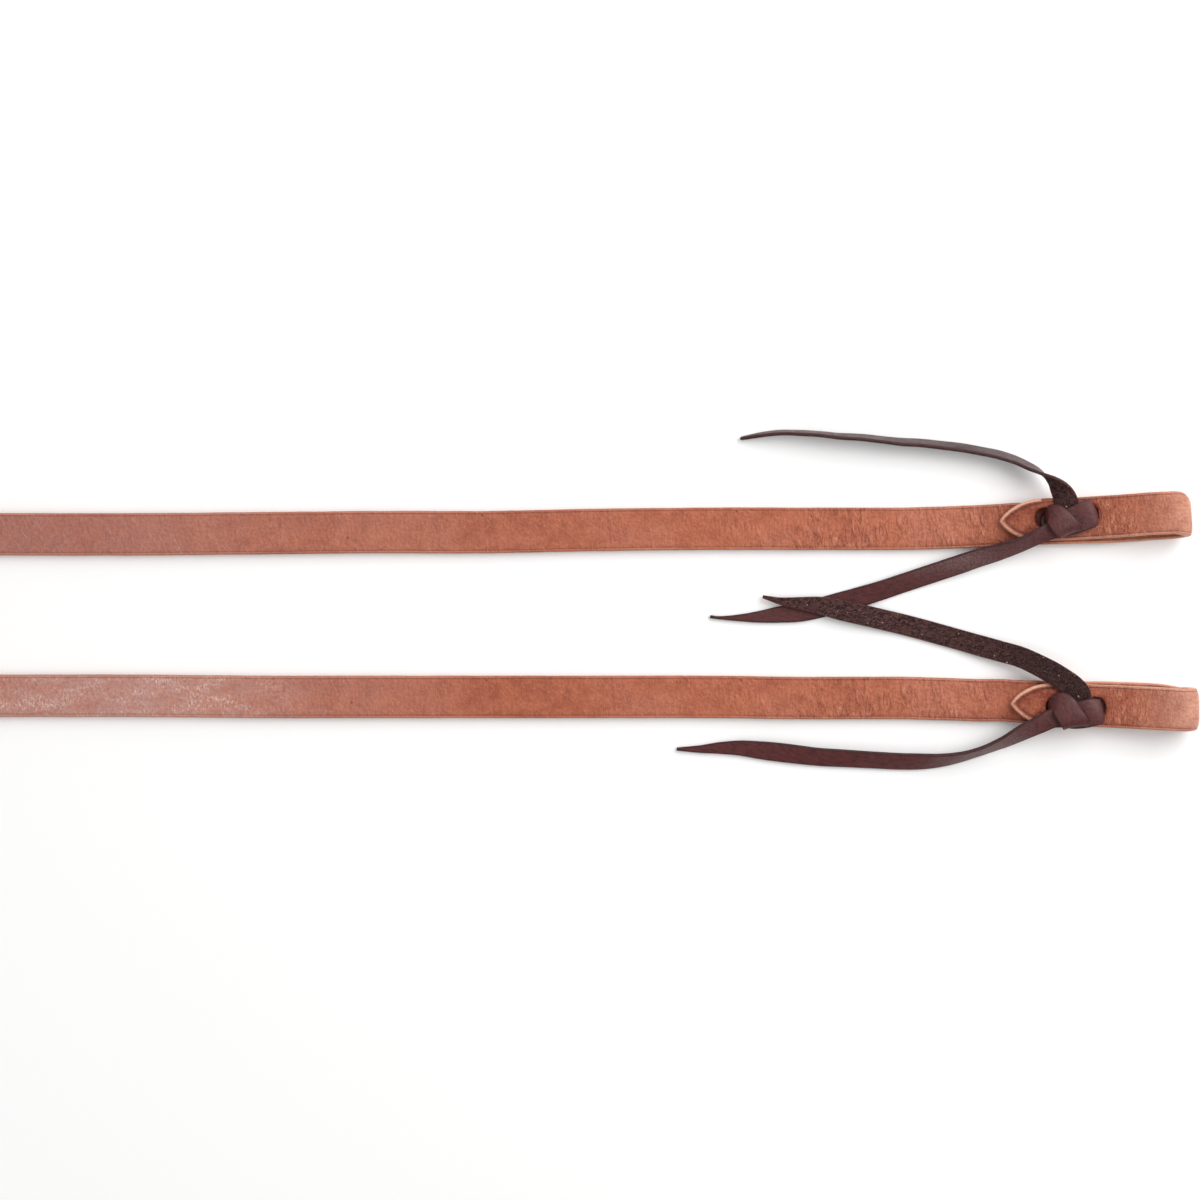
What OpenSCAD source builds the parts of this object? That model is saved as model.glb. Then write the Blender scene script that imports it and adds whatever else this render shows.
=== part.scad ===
// A pair of split reins with tied bit loops.
// Each rein is one long leather strap, turned back on itself at the bit end and
// closed by a leather lace that is knotted through two holes in both layers.
// The long ends are wound together, on edge, into one round coil.
// +X points along the reins towards the bit loops, +Y from rein B to rein A, +Z up.
// The origin is on the floor, at the middle of the whole pair as it lies.

/* [Strap] */
// Width of each strap
strap_w = 19; // [18:0.5:20]
// Thickness of each strap
strap_t = 3.5; // [3.2:0.1:3.6]
// Length of one rein, from its bit loop to its tail end
rein_len = 2134; // [1900:1:2440]

/* [Bit loop] */
// Length of the turned-back end, from its point to the bend
loop_len = 85; // [82:1:88]
// Inside radius of the bend that the bit ring sits in
bend_r = 4.5; // [4:0.1:4.6]
// Length of the pointed end of the turn-back
point_len = 16; // [14:1:18]
// Radius of the punched lace holes
hole_r = 4.3; // [4.1:0.1:4.6]
// Distance from the point to the first hole
hole_inset = 20; // [19:0.5:21]
// Distance between the two holes
hole_gap = 19; // [18:0.5:20]

/* [Lace] */
// Width of the lace at the knot
lace_w = 10.5; // [9.5:0.5:11]
// Thickness of the lace
lace_t = 1.6; // [1.4:0.1:1.7]

/* [Coil] */
// Radius of the coil, to the outside of its outermost turn
coil_r = 84; // [83:0.5:90]
// Distance between two turns of the same strap
coil_pitch = 8; // [7.8:0.1:9]

/* [Hidden] */
$fn = 64;

harness = "#b5694c";  // russet harness leather
latigo = "#4a2f30";   // dark oiled lace leather

// Where each rein's turned-back end lies: the outside of its bend, and its turn about Z
loop_a = [415, 41.2, 1.8];
loop_b = [418, -44.8, -1.9];

// Straight stretch that each strap follows into the coil, where it turns on edge
a_line = 33.5;
b_line = -39;
twist_start = -117;
twist_len = 80;
twist_steps = 10;

// The straps' ways into the coil, and the coil's middle. It is placed so that the
// pair's box is centred on the origin.
a_join = 50;          // polar angle at which rein A reaches the coil
b_join = 10;          // polar angle at which rein B reaches the coil
bit_reach = loop_b[0] + strap_w / 2 * sin(abs(loop_b[2]));
coil_x = coil_r - coil_pitch * (180 - a_join) / 360 - bit_reach;
coil_y = -coil_pitch / 4;
a_start_r = coil_r - strap_t / 2;
b_start_r = a_start_r - coil_pitch / 2 + coil_pitch * (a_join - b_join) / 360;
coil_step = 10;

// Levels of the stack of leather at the knot
lift = lace_t + 0.2;                       // the strap rests on the lace's under-run
under_mid = lift + strap_t / 2;            // middle of the lower layer
over_mid = under_mid + strap_t + 0.2;      // middle of the turned-back layer
over_top = over_mid + strap_t / 2;         // its upper face
bend_mid = bend_r + strap_t;               // height of the bend's axis
lace_gap = 0.1;
level_1 = over_top + lace_t / 2 + 0.2;     // first lace strand over the strap
level_2 = level_1 + lace_t + lace_gap;     // second strand
level_3 = level_2 + lace_t + lace_gap;     // third strand
seam_back = 5;                             // the strap meets the loop this far under the point

// ---- ribbons swept along a route ----------------------------------------
// A station is [x, y, z, roll, width]. Roll 0 has the grain side up, and a
// positive roll turns the grain side to the right of the way the ribbon runs.

function unit(v) = v / norm(v);
function place(s) = [s[0], s[1], s[2]];
function heading(r, i) = unit(place(r[min(i + 1, len(r) - 1)]) - place(r[max(i - 1, 0)]));
function corners(w, t, c) = [
    [w / 2, t / 2 - c], [w / 2 - c, t / 2], [c - w / 2, t / 2], [-w / 2, t / 2 - c],
    [-w / 2, c - t / 2], [c - w / 2, -t / 2], [w / 2 - c, -t / 2], [w / 2, c - t / 2]];

function ring(r, i, t) =
    let (ahead = heading(r, i),
         side = unit(cross(ahead, [0, 0, 1])),
         up = cross(side, ahead),
         roll = r[i][3],
         across = cos(roll) * side - sin(roll) * up,
         grain = cos(roll) * up + sin(roll) * side)
    [for (c = corners(r[i][4], t, t / 5)) place(r[i]) + c[0] * across + c[1] * grain];

module ribbon(route, thick) {
    sides = 8;
    last = len(route) - 1;
    points = [for (i = [0 : last]) each ring(route, i, thick)];
    function at(i, k) = i * sides + k % sides;
    walls = [for (i = [0 : last - 1], k = [0 : sides - 1])
        each [[at(i, k), at(i, k + 1), at(i + 1, k + 1)], [at(i, k), at(i + 1, k + 1), at(i + 1, k)]]];
    first_cap = [for (k = [sides - 1 : -1 : 0]) at(0, k)];
    last_cap = [for (k = [0 : sides - 1]) at(last, k)];
    polyhedron(points, concat([first_cap], walls, [last_cap]));
}

// ---- the straps ----------------------------------------------------------

// Height of a strap's middle when it is rolled over by an angle and rests on the floor
function rest_z(roll, w, t) = abs(sin(roll)) * w / 2 + abs(cos(roll)) * t / 2;

// Flat stretches, from under the point of the turn-back to the start of the twist: [x, y, lift]
flat_a = [[335, 38, 1.4], [328, 37.5, 0.8], [318, 37, 0.3], [305, 36.5, 0],
          [285, 36, 0], [240, 36, 0], [200, 36, 0], [150, 35.5, 0],
          [100, 34.5, 0], [50, 34.5, 0], [0, 34, 0], [-60, 33.5, 0]];
flat_b = [[338, -41.5, 1.4], [331, -41, 0.8], [320, -41, 0.3], [305, -40.5, 0],
          [285, -40, 0], [240, -40, 0], [200, -39.5, 0], [150, -39.5, 0],
          [100, -39.5, 0], [50, -39.5, 0], [0, -39.5, 0], [-60, -39, 0]];

function ease(u) = u * u * (3 - 2 * u);
function entry_r(r, join, line) = (r * sin(join) - line + coil_y) / (1 - sin(join));
function entry_x(r, join, line) = coil_x + (r + entry_r(r, join, line)) * cos(join);

function flat_part(flat) = [for (p = flat) [p[0], p[1], strap_t / 2 + p[2], 0, strap_w]];
function twist_part(line) = [for (k = [0 : twist_steps])
    let (u = k / twist_steps, roll = 90 * ease(u))
    [twist_start - twist_len * u, line, rest_z(roll, strap_w, strap_t), roll, strap_w]];
function entry_part(r, join, line) = [for (k = [1 : 8])
    let (turn = (90 - join) * k / 8, bend = entry_r(r, join, line))
    [entry_x(r, join, line) - bend * sin(turn), line + bend * (1 - cos(turn)),
     strap_w / 2, 90, strap_w]];
function straight_part(r, join, line) =
    entry_x(r, join, line) < twist_start - twist_len - 2
    ? [[entry_x(r, join, line), line, strap_w / 2, 90, strap_w]] : [];

function strap_route(flat, r, join, line) =
    concat(flat_part(flat), twist_part(line), straight_part(r, join, line),
           entry_part(r, join, line));

function run_length(route, i = 0) =
    i >= len(route) - 1 ? 0
    : norm(place(route[i + 1]) - place(route[i])) + run_length(route, i + 1);

// Angle wound by a length of strap that starts at radius r and tightens by one pitch a turn
function wound(r, long) =
    (r - sqrt(r * r - coil_pitch * long / PI)) * 360 / coil_pitch;

module coil(r, join, long) {
    angle = wound(r, long);
    at = concat([for (a = [0 : coil_step : angle - 1]) a], [angle]);
    function spiral(a, off) = (r - coil_pitch * a / 360 + off) * [cos(join + a), sin(join + a)];
    outer = [for (a = at) spiral(a, strap_t / 2)];
    inner = [for (k = [len(at) - 1 : -1 : 0]) spiral(at[k], -strap_t / 2)];
    translate([coil_x, coil_y, 0])
        linear_extrude(height = strap_w) polygon(concat(outer, inner));
}

route_a = strap_route(flat_a, a_start_r, a_join, a_line);
route_b = strap_route(flat_b, b_start_r, b_join, b_line);

// What is left to wind once the loop and the run to the coil are taken off
function to_wind(route, loop) = rein_len - (loop[0] - route[0][0]) - run_length(route);

module rein_a_strap() { color(harness) ribbon(route_a, strap_t); }
module rein_b_strap() { color(harness) ribbon(route_b, strap_t); }
module rein_a_coil() { color(harness) coil(a_start_r, a_join, to_wind(route_a, loop_a)); }
module rein_b_coil() { color(harness) coil(b_start_r, b_join, to_wind(route_b, loop_b)); }

// ---- the bit loops -------------------------------------------------------

// Side outline of one layer, from its middle line: [x back from the bend, z]
function layer(mid) = concat(
    [for (p = mid) [-p[0], p[1] + strap_t / 2]],
    [for (k = [len(mid) - 1 : -1 : 0]) [-mid[k][0], mid[k][1] - strap_t / 2]]);

module lower_layer() {
    mid = [[bend_mid - 0.5, strap_t / 2], [18, strap_t / 2 + 0.4], [28, under_mid - 0.5], [36, under_mid],
           [68, under_mid], [loop_len - seam_back, strap_t / 2 + 1.4]];
    translate([0, strap_w / 2, 0]) rotate([90, 0, 0])
        linear_extrude(height = strap_w) polygon(layer(mid));
}

module upper_layer() {
    top = bend_mid + bend_r + strap_t / 2;
    mid = [[bend_mid - 0.5, top], [bend_mid + 2, top - 0.1], [18, top - 1.6], [28, over_mid + 2.6],
           [36, over_mid + 0.2], [40, over_mid], [loop_len, over_mid]];
    intersection() {
        translate([0, strap_w / 2, 0]) rotate([90, 0, 0])
            linear_extrude(height = strap_w) polygon(layer(mid));
        linear_extrude(height = 40) turned_outline();
    }
}

// Plan of the turned-back end: square at the bend, with a pointed arch at its end
module turned_outline() {
    arch_r = (strap_w * strap_w / 4 + point_len * point_len) / strap_w;
    translate([point_len - loop_len, 0]) {
        translate([0, -strap_w / 2]) square([loop_len, strap_w]);
        intersection() {
            translate([0, strap_w / 2 - arch_r]) circle(arch_r);
            translate([0, arch_r - strap_w / 2]) circle(arch_r);
            translate([-2 * arch_r, -strap_w]) square([2 * arch_r + 1, 2 * strap_w]);
        }
    }
}

module bend() {
    translate([-bend_mid, strap_w / 2, bend_mid]) rotate([90, 0, 0])
        difference() {
            cylinder(r = bend_mid, h = strap_w);
            translate([0, 0, -1]) cylinder(r = bend_r, h = strap_w + 2);
            translate([-2 * bend_mid, -2 * bend_mid, -1])
                cube([2 * bend_mid, 4 * bend_mid, strap_w + 2]);
        }
}

function hole_x(k) = hole_inset + k * hole_gap - loop_len;

module bit_loop(at) {
    translate([at[0], at[1], 0]) rotate([0, 0, at[2]])
        difference() {
            union() {
                bend();
                lower_layer();
                upper_layer();
            }
            for (k = [0, 1])
                translate([hole_x(k), 0, -1]) cylinder(r = hole_r, h = 30);
        }
}

module rein_a_bit_loop() { color(harness) bit_loop(loop_a); }
module rein_b_bit_loop() { color(harness) bit_loop(loop_b); }

// ---- the laces -----------------------------------------------------------

// One straight strand of lace, from a to b, flat at height z
module strand(a, b, z, w) {
    run = b - a;
    translate([a[0], a[1], z - lace_t / 2]) rotate([0, 0, atan2(run[1], run[0])])
        translate([0, -w / 2, 0]) cube([norm(run), w, lace_t]);
}

// The lace runs under both layers, comes up through both holes and ties on top.
// near and far are the ends of the strand from the second hole; tuck is where the
// strand from the first hole goes under it; out is where it comes back out.
module knot(at, near, far, tuck, out) {
    left = [hole_x(0), 0];
    right = [hole_x(1), 0];
    upright_w = 7;
    translate([at[0], at[1], 0]) rotate([0, 0, at[2]]) {
        strand(left - [lace_t / 2, 0], right + [lace_t / 2, 0], lace_t / 2, upright_w);
        for (h = [left, right])
            translate([h[0] - lace_t / 2, -upright_w / 2, 0])
                cube([lace_t, upright_w, level_2 + lace_t / 2]);
        strand(tuck, out, level_1, lace_w);
        strand(near, far, level_2, lace_w);
        strand(left, tuck, level_3, lace_w);
        translate([left[0] - lace_t / 2, -upright_w / 2, level_1])
            cube([lace_t, upright_w, level_3 - level_1 + lace_t / 2]);
        wrap = unit(tuck - left);
        strand_wall(tuck, wrap);
    }
}

// Where the wrapping strand turns down over the edge of the one it ties
module strand_wall(tuck, way) {
    translate([tuck[0], tuck[1], level_1 - lace_t / 2]) rotate([0, 0, atan2(way[1], way[0])])
        translate([-lace_t / 2, -lace_w / 2, 0]) cube([lace_t, lace_w, level_3 - level_1 + lace_t]);
}

knot_a = [[-46, 4], [-66, -5.5], [-56, -6.5], [-56.5, 7]];
knot_b = [[-45, -0.5], [-66, -6.5], [-57.5, -8.5], [-54.5, 5]];

module tie_a_knot() { color(latigo) knot(loop_a, knot_a[0], knot_a[1], knot_a[2], knot_a[3]); }
module tie_b_knot() { color(latigo) knot(loop_b, knot_b[0], knot_b[1], knot_b[2], knot_b[3]); }

// Tails, from the knot to the tip: [x, y, z, roll, width]
upper_tail_a = [
    [358.5, 46.5, 10.1, 180, 10.5], [358, 49, 10.3, 176, 10.5], [356.5, 52.5, 10.3, 160, 10],
    [354, 55.5, 9.8, 135, 9.5], [351, 57.5, 8.6, 115, 9.5], [348, 59, 8, 95, 9.5],
    [345, 61, 7, 82, 9.5], [341.5, 63.5, 6, 74, 9.5], [335.5, 66.5, 5.2, 69, 9.5],
    [329, 69, 4.9, 68, 9.5], [320, 71, 4.8, 68, 9.5], [311.5, 72.5, 4.8, 68, 9.5],
    [302.5, 73.5, 4.8, 69, 9.5], [293.5, 74.5, 4.8, 70, 9.5], [284.5, 75, 4.8, 71, 9.5],
    [275.5, 76, 4.8, 73, 9.5], [266.5, 77, 4.8, 74, 9.4], [257.5, 77.5, 4.7, 75, 9],
    [248.5, 78.5, 4.5, 76, 8.5], [239.5, 79, 4.2, 75, 7.6], [230.5, 79, 3.6, 75, 6.3],
    [221.5, 78, 2.6, 72, 4.2], [213, 76.5, 1.4, 68, 1]];
lower_tail_a = [
    [349, 34, 11.7, 0, 10.5], [344, 31.5, 11.2, -12, 9.8], [337.5, 28.5, 9.8, -28, 9.2],
    [328.5, 25.5, 8, -32, 9], [320, 23, 6.2, -26, 9], [311.5, 20, 4.4, -20, 9],
    [302.5, 17, 3.1, -20, 9], [293.5, 14, 2.5, -20, 9], [284.5, 11, 2.3, -20, 9],
    [275.5, 8, 2, -16, 9], [267, 5.5, 1.5, -9, 9], [258, 3, 1, -3, 9],
    [249, 0.5, 0.9, 0, 9], [240, -1.5, 0.9, 0, 8.6], [231, -2.5, 0.9, 0, 7.4],
    [222, -3.5, 0.9, 0, 5.4], [213, -4, 0.9, 0, 3.2], [204, -4, 0.9, 0, 1.5],
    [199.5, -3.5, 0.9, 0, 1]];
upper_tail_b = [
    [363.5, -38, 10.2, 180, 10.5], [360.5, -34.5, 10.4, 180, 10.4], [356.5, -31.5, 10.3, 180, 10.2],
    [351, -28, 9.6, 180, 10], [346.5, -25.5, 8.4, 180, 9.7], [338, -21.5, 5.8, 180, 9.5],
    [329.5, -19, 3.4, 180, 9.4], [320.5, -16.5, 2.2, 180, 9.4], [312, -14, 1.4, 180, 9.3],
    [303, -11.5, 1.1, 180, 9.3], [294, -9.5, 1, 180, 9.3], [285, -6.5, 1.2, 180, 9.3],
    [276, -4.5, 2, 180, 9.3], [267, -2.5, 2.8, 180, 9.3], [258, -0.5, 3.1, 180, 9.2],
    [249, 1.5, 3.1, 180, 8], [240, 2.5, 3, 180, 5.8], [231, 3.5, 2.8, 180, 3.4],
    [223, 5.5, 2.4, 180, 1]];
lower_tail_b = [
    [351, -48.5, 11.7, 0, 10.5], [346.5, -51, 11, -15, 9.8], [339, -54.5, 9.6, -33, 9.4],
    [332.5, -58.5, 7.8, -50, 9.2], [328.5, -60.5, 6.8, -58, 9.1], [320, -64, 5.4, -65, 9.1],
    [311.5, -66.5, 4.8, -61, 9.1], [302.5, -68, 4.4, -51, 9.1], [293.5, -68.5, 3.8, -40, 9.1],
    [284.5, -68.5, 3.5, -37, 9.1], [275.5, -68, 3.5, -36, 9.1], [266.5, -67.5, 3.4, -34, 9.1],
    [257.5, -67, 3.2, -31, 9.1], [248.5, -66.5, 3, -28, 9.1], [239.5, -65.5, 2.8, -24, 9.1],
    [231, -64.5, 2.5, -20, 9], [222, -63.5, 2.2, -18, 8.4], [213, -62.5, 1.8, -15, 7],
    [204, -62.5, 1.4, -12, 5.4], [195, -63, 1.1, -8, 3.4], [184.5, -63, 0.9, 0, 1]];

module tie_a_upper_tail() { color(latigo) ribbon(upper_tail_a, lace_t); }
module tie_a_lower_tail() { color(latigo) ribbon(lower_tail_a, lace_t); }
module tie_b_upper_tail() { color(latigo) ribbon(upper_tail_b, lace_t); }
module tie_b_lower_tail() { color(latigo) ribbon(lower_tail_b, lace_t); }

rein_a_strap();
rein_a_coil();
rein_a_bit_loop();
tie_a_knot();
tie_a_upper_tail();
tie_a_lower_tail();
rein_b_strap();
rein_b_coil();
rein_b_bit_loop();
tie_b_knot();
tie_b_upper_tail();
tie_b_lower_tail();
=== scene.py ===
# A pair of split reins with tied bit loops, lying with their long ends wound in one coil.
# Every strap and lace is cut flat first, with its outline, holes and creases,
# and then laid along its route.
import math

import bmesh
import bpy
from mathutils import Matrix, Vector, noise


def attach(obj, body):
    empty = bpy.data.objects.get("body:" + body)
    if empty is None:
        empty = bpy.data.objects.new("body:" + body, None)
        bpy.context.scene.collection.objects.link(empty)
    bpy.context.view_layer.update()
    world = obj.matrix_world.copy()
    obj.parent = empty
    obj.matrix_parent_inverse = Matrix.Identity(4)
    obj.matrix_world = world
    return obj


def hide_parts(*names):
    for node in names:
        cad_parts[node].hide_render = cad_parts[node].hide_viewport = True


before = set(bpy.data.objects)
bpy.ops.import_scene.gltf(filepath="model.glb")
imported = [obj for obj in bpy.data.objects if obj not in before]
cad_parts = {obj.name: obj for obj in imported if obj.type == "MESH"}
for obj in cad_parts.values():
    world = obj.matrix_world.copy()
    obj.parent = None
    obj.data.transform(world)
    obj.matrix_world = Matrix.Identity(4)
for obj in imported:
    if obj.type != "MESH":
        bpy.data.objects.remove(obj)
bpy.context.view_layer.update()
print("frame loaded")


stage = {
    "middle": (0.15, 0.004),  # the camera looks straight down at this place
    "height": 1.05,
    "lens": 70.0,
    "floorSize": 6.0,
    "skyStrength": 0.43,
}


def setStage():
    scene = bpy.context.scene
    scene.view_settings.view_transform = "Standard"
    camera = bpy.data.objects.new("camera", bpy.data.cameras.new("camera"))
    camera.data.lens = stage["lens"]
    camera.data.sensor_width = 36.0
    camera.location = (*stage["middle"], stage["height"])
    scene.collection.objects.link(camera)
    scene.camera = camera

    world = bpy.data.worlds.new("softbox")
    world.use_nodes = True
    sky = world.node_tree.nodes["Background"].inputs
    sky["Color"].default_value = (1.0, 0.99, 0.98, 1.0)
    sky["Strength"].default_value = stage["skyStrength"]
    scene.world = world

    # name, place, size and power of each panel; all of them face the middle of the picture
    panels = [
        ("keyPanel", (1.05, 0.55, 0.9), 1.3, 18.6),
        ("fillPanel", (-0.85, -0.55, 1.2), 1.2, 6.5),
        ("backPanel", (0.15, 1.6, 0.55), 1.4, 6.3),
    ]
    for name, place, size, power in panels:
        lamp = bpy.data.lights.new(name, "AREA")
        lamp.shape = "SQUARE"
        lamp.size = size
        lamp.energy = power
        panel = bpy.data.objects.new(name, lamp)
        panel.location = place
        aim = Vector((*stage["middle"], 0.0)) - Vector(place)
        panel.rotation_euler = aim.to_track_quat("-Z", "Y").to_euler()
        scene.collection.objects.link(panel)

    bm = bmesh.new()
    bmesh.ops.create_grid(bm, x_segments=1, y_segments=1, size=stage["floorSize"] / 2)
    floor = finishMesh("floor", bm)
    paint = bpy.data.materials.new("floorPaper")
    paint.use_nodes = True
    shader = paint.node_tree.nodes["Principled BSDF"]
    shader.inputs["Base Color"].default_value = (0.97, 0.97, 0.97, 1.0)
    shader.inputs["Roughness"].default_value = 0.9
    shader.inputs["Specular IOR Level"].default_value = 0.1
    floor.data.materials.append(paint)


def finishMesh(name, bm):
    mesh = bpy.data.meshes.new(name)
    bm.to_mesh(mesh)
    bm.free()
    piece = bpy.data.objects.new(name, mesh)
    bpy.context.scene.collection.objects.link(piece)
    return piece


setStage()
print("stage set")


def unit(x):
    return min(max(x, 0.0), 1.0)


def smoothRoute(stations, step):
    # a smooth line through the stations; a station's other numbers are eased along too
    at = [0.0]
    for a, b in zip(stations, stations[1:]):
        at.append(at[-1] + math.dist(a[:3], b[:3]))
    last = len(stations) - 1

    def slope(i, k):
        low, high = max(i - 1, 0), min(i + 1, last)
        return (stations[high][k] - stations[low][k]) / (at[high] - at[low])

    rows = []
    steps = math.ceil(at[-1] / step)
    i = 0
    for n in range(steps + 1):
        u = at[-1] * n / steps
        while i < last - 1 and u > at[i + 1]:
            i += 1
        h = at[i + 1] - at[i]
        x = (u - at[i]) / h
        row = []
        for k in range(len(stations[0])):
            start, end = stations[i][k], stations[i + 1][k]
            row.append(
                (2 * x**3 - 3 * x**2 + 1) * start + (x**3 - 2 * x**2 + x) * h * slope(i, k)
                + (3 * x**2 - 2 * x**3) * end + (x**3 - x**2) * h * slope(i + 1, k)
            )
        rows.append(row)
    return rows


def framesAlong(rows, grainOf):
    # one frame per row: run, place, direction across, grain direction and the row itself
    frames = []
    run = 0.0
    for i, row in enumerate(rows):
        here = Vector(row[:3])
        if frames:
            run += (here - frames[-1]["place"]).length
        before = Vector(rows[max(i - 1, 0)][:3])
        after = Vector(rows[min(i + 1, len(rows) - 1)][:3])
        ahead = (after - before).normalized()
        across = grainOf(row, ahead).cross(ahead).normalized()
        grain = ahead.cross(across)
        frames.append({"run": run, "place": here, "across": across, "grain": grain, "row": row})
    return frames


def rolledGrain(roll, ahead):
    # grain up at roll 0; a positive roll turns it to the right of the way ahead
    side = ahead.cross(Vector((0.0, 0.0, 1.0))).normalized()
    return math.cos(roll) * side.cross(ahead) + math.sin(roll) * side


def frameAt(frames, run):
    share = (run - frames[0]["run"]) / (frames[-1]["run"] - frames[0]["run"]) * (len(frames) - 1)
    i = min(max(int(share), 0), len(frames) - 2)
    while i > 0 and frames[i]["run"] > run:
        i -= 1
    while i < len(frames) - 2 and frames[i + 1]["run"] < run:
        i += 1
    a, b = frames[i], frames[i + 1]
    x = unit((run - a["run"]) / (b["run"] - a["run"]))
    return (
        a["place"].lerp(b["place"], x),
        a["across"].lerp(b["across"], x).normalized(),
        a["grain"].lerp(b["grain"], x).normalized(),
        [p + (q - p) * x for p, q in zip(a["row"], b["row"])],
    )


def pathOf(frames, low, high, step):
    count = math.ceil((high - low) / step)
    return [frameAt(frames, low + (high - low) * n / count)[0] for n in range(count + 1)]


def fromTable(table, x):
    # a value read off a short list of (place, value)
    if x <= table[0][0]:
        return table[0][1]
    for (x0, y0), (x1, y1) in zip(table, table[1:]):
        if x <= x1:
            return y0 + (y1 - y0) * (x - x0) / (x1 - x0)
    return table[-1][1]


markChannels = ("haze", "oiled", "light", "dust", "strain", "crease")
cutLevel = 0.55  # a face that leans over further than this is part of the cut edge
edgeShelf = 3.0  # keeps the cut edge's map clear of the two sides' maps


def cutBlank(runs, columns):
    # a flat blank: one row of points at each run, one column at each place across
    bm = bmesh.new()
    for key in ("rim", *markChannels):
        bm.verts.layers.float.new(key)
    bm.loops.layers.uv.new("flat")
    bmesh.ops.create_grid(bm, x_segments=len(runs) - 1, y_segments=len(columns) - 1, size=0.5)
    for v in bm.verts:
        i = round((v.co.x + 0.5) * (len(runs) - 1))
        j = round((v.co.y + 0.5) * (len(columns) - 1))
        v.co = (runs[i], columns[j], 0.0)
    return bm


def punchHole(bm, run, across, radius, cell):
    # the square ring of cells round the hole is drawn onto the circle, and what is inside it is cut out
    square = round(radius / cell) * cell
    reach = square + 4 * cell
    inside = []
    for face in bm.faces:
        centre = face.calc_center_median()
        if max(abs(centre.x - run), abs(centre.y - across)) < square:
            inside.append(face)
    bmesh.ops.delete(bm, geom=inside, context="FACES")
    for v in bm.verts:
        dx, dy = v.co.x - run, v.co.y - across
        ring = max(abs(dx), abs(dy))
        if ring < reach:
            keep = max(ring - square, 0.0) / (reach - square)
            out = (radius + ring - square) / math.hypot(dx, dy)
            v.co.x = run + dx * (keep + (1 - keep) * out)
            v.co.y = across + dy * (keep + (1 - keep) * out)


def makeLeather(name, bm, frames, cut, marksAt):
    # gives the blank its thickness, rounded rims, creases and maps, and lays it along the route
    half = cut["thickness"] / 2
    rims = {v: cut["rimOf"](v.co.x, v.co.y) for v in bm.verts}
    flatPlace = {v: (v.co.x, v.co.y) for v in bm.verts}
    upper = list(bm.verts)
    grown = bmesh.ops.extrude_face_region(bm, geom=bm.faces[:])["geom"]
    lower = [g for g in grown if isinstance(g, bmesh.types.BMVert)]
    twin = {(round(v.co.x, 7), round(v.co.y, 7)): v for v in upper}
    for v in lower:
        partner = twin[(round(v.co.x, 7), round(v.co.y, 7))]
        rims[v] = rims[partner]
        flatPlace[v] = flatPlace[partner]
    trims = {v: cut["trimOf"](x, y) for v, (x, y) in flatPlace.items()}
    for side, verts in ((1.0, upper), (-1.0, lower)):
        for v in verts:
            v.co.z = side * half * rimHeight(rims[v], cut["creaseOf"](flatPlace[v][0]), cut)
    bmesh.ops.recalc_face_normals(bm, faces=bm.faces[:])

    rimLayer = bm.verts.layers.float["rim"]
    markLayers = {key: bm.verts.layers.float[key] for key in markChannels}
    flatMap = bm.loops.layers.uv["flat"]
    for face in bm.faces:
        face.smooth = True
        face.normal_update()
        level = face.normal.z
        face.material_index = 0 if level > cutLevel else 1 if level < -cutLevel else 2
        for loop in face.loops:
            x, y = flatPlace[loop.vert]
            if face.material_index == 2:
                y = edgeShelf + loop.vert.co.z
            loop[flatMap].uv = (x, y + face.material_index)
    for v in bm.verts:
        x, y = flatPlace[v]
        place, across, grain, row = frameAt(frames, x)
        marks = marksAt(x, y, trims[v], place)
        marks["crease"] = cut["creaseOf"](x)
        v[rimLayer] = trims[v]
        for key, layer in markLayers.items():
            v[layer] = marks.get(key, 0.0)
        ripple = cut["ripple"] * noise.noise(Vector((x * 45.0, y * 45.0, cut["seed"])))
        ripple += 0.4 * cut["ripple"] * noise.noise(Vector((x * 160.0, y * 160.0, cut["seed"] + 5.0)))
        wobble = cut["wobble"] * noise.noise(Vector((x * 70.0, math.copysign(3.0, y), cut["seed"])))
        reach = y + wobble * (abs(y) / cut["halfWidth"]) ** 2
        cup = cut["cupOf"](row, y / cut["halfWidth"])
        v.co = place + across * reach + grain * (v.co.z + ripple - cup)
        v.co.z = max(v.co.z, 0.0)
    piece = finishMesh(name, bm)
    for material in cut["materials"]:
        piece.data.materials.append(material)
    return piece


def rimHeight(rim, creaseAt, cut):
    # share of the half thickness at this distance from the cut rim
    x = min(rim / cut["round"], 1.0)
    height = 0.42 + 0.58 * math.sqrt(1.0 - (1.0 - x) ** 2)
    crease = math.exp(-(((rim - creaseAt) / 0.00028) ** 2))
    return height - cut["creaseDepth"] / (cut["thickness"] / 2) * crease


def mirrored(distances, halfWidth):
    # columns across the blank, from distances in from the rim and even steps over the middle
    right = [halfWidth - d for d in distances]
    return sorted({round(x, 6) for x in right} | {round(-x, 6) for x in right})


strap = {
    "width": 0.019,
    "thickness": 0.0035,
    "pointLength": 0.018,  # the arch at the end of the turn-back
    "holeRadius": 0.0043,
    "holeShift": 0.002,  # the lower layer's holes lie this much further from the point
    "cell": 0.0008,  # size of the blank's cells round the holes
    "step": 0.0022,  # length of the cells along the rest of the strap
    "routeStep": 0.001,
    "tipLine": 0.0023,  # the creased line's distance from the rim, at the tip and elsewhere
    "edgeLine": 0.0013,
    "bendRadius": 0.00625,  # of the strap's middle, round the bit ring
    "bendHeight": 0.008,
    "reinLength": 2.134,
    "twistStart": -0.117,
    "twistLength": 0.08,
    "tailTaper": 0.09,
    "tailWidth": 0.012,
    "evenFrom": 0.62,  # past this run from the seam the wear is even
}

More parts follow.
